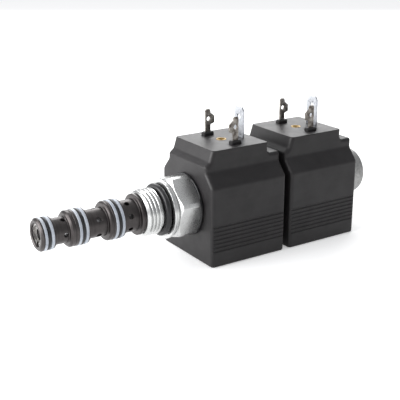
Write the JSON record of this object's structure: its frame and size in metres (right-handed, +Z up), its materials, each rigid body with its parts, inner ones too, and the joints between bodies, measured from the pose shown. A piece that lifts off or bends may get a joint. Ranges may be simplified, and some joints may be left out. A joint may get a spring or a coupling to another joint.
{
  "type": "solenoid directional valve",
  "caption": "Screw-in cartridge spool valve with encapsulated solenoid coils stacked on one guide tube, blade connectors on top and a closed coil nut at the end.",
  "frame": {"origin": "on the valve axis, in the plane of the collar face that seats on the manifold", "axes": "+X along the valve axis from the nose to the coil nut, +Z up towards the connector blades"},
  "size_m": [0.1564, 0.038, 0.0598],
  "materials": {
    "black_oxide_steel": "black oxide, satin",
    "zinc_plated_steel": "bright zinc plate",
    "stainless_steel": "turned",
    "bright_steel": "ground",
    "spring_steel": "oiled",
    "tinned_brass": "tin plate",
    "brass": "turned",
    "bronze": "sintered",
    "copper": "enamelled wire",
    "matt_aluminium": "matt",
    "nitrile_rubber": "satin",
    "backup_plastic": "satin",
    "casing_plastic": "moulded, satin",
    "spacer_plastic": "moulded",
    "bobbin_plastic": "moulded"
  },
  "bodies": {
    "cartridge": {"centre_pole": "bright_steel", "coil_front_seal": "nitrile_rubber", "coil_spacer": "spacer_plastic", "front_pole_shim": "brass", "guide_tube": "stainless_steel", "hex_adapter": "zinc_plated_steel", "nose_retaining_ring": "spring_steel", "nose_spring": "spring_steel", "nose_spring_seat": "spring_steel", "pole_bush": "bronze", "rear_pole_shim": "brass", "seal_1_front_backup": "backup_plastic", "seal_1_o_ring": "nitrile_rubber", "seal_1_rear_backup": "backup_plastic", "seal_2_front_backup": "backup_plastic", "seal_2_o_ring": "nitrile_rubber", "seal_2_rear_backup": "backup_plastic", "seal_3_front_backup": "backup_plastic", "seal_3_o_ring": "nitrile_rubber", "seal_3_rear_backup": "backup_plastic", "seat_o_ring": "nitrile_rubber", "tail_plug": "stainless_steel", "tail_spring": "spring_steel", "valve_sleeve": "black_oxide_steel"},
    "spool_train": {"spool": "bright_steel", "spool_pin": "spring_steel", "spool_rod": "stainless_steel", "front_armature": "bright_steel", "push_rod": "stainless_steel", "rear_armature": "bright_steel"},
    "coil_1": {"coil_1_bobbin": "bobbin_plastic", "coil_1_casing": "casing_plastic", "coil_1_earth_blade": "tinned_brass", "coil_1_flux_shell": "bright_steel", "coil_1_front_flux_washer": "bright_steel", "coil_1_left_power_blade": "tinned_brass", "coil_1_rear_flux_washer": "bright_steel", "coil_1_right_power_blade": "tinned_brass", "coil_1_screw_insert": "brass", "coil_1_winding": "copper"},
    "coil_2": {"coil_2_bobbin": "bobbin_plastic", "coil_2_casing": "casing_plastic", "coil_2_earth_blade": "tinned_brass", "coil_2_flux_shell": "bright_steel", "coil_2_front_flux_washer": "bright_steel", "coil_2_left_power_blade": "tinned_brass", "coil_2_rear_flux_washer": "bright_steel", "coil_2_right_power_blade": "tinned_brass", "coil_2_screw_insert": "brass", "coil_2_winding": "copper"},
    "nut_seal": {"nut_o_ring": "nitrile_rubber"},
    "coil_nut": {"coil_nut": "matt_aluminium"}
  },
  "joints": [
    {"name": "spool_shift", "type": "slide", "parent": "cartridge", "child": "spool_train", "axis": [1, 0, 0], "range_m": [-0.002, 0.002], "stiffness_N_per_m": 3000, "deforming": ["nose_spring", "tail_spring"]},
    {"name": "coil_1_turn", "type": "hinge", "parent": "cartridge", "child": "coil_1", "pos_m": [0.0312, 0, 0], "axis": [1, 0, 0], "continuous": true},
    {"name": "coil_2_turn", "type": "hinge", "parent": "cartridge", "child": "coil_2", "pos_m": [0.0707, 0, 0], "axis": [1, 0, 0], "continuous": true},
    {"name": "nut_travel", "type": "slide", "parent": "cartridge", "child": "nut_seal", "axis": [1, 0, 0], "range_m": [0, 0.00624]},
    {"name": "nut_turn", "type": "hinge", "parent": "nut_seal", "child": "coil_nut", "pos_m": [0.095, 0, 0], "axis": [1, 0, 0], "range_deg": [0, 1800]}
  ],
  "couplings": [
    {"joint": "nut_turn", "follows": "nut_travel", "rad_per_m": 5026.5}
  ]
}
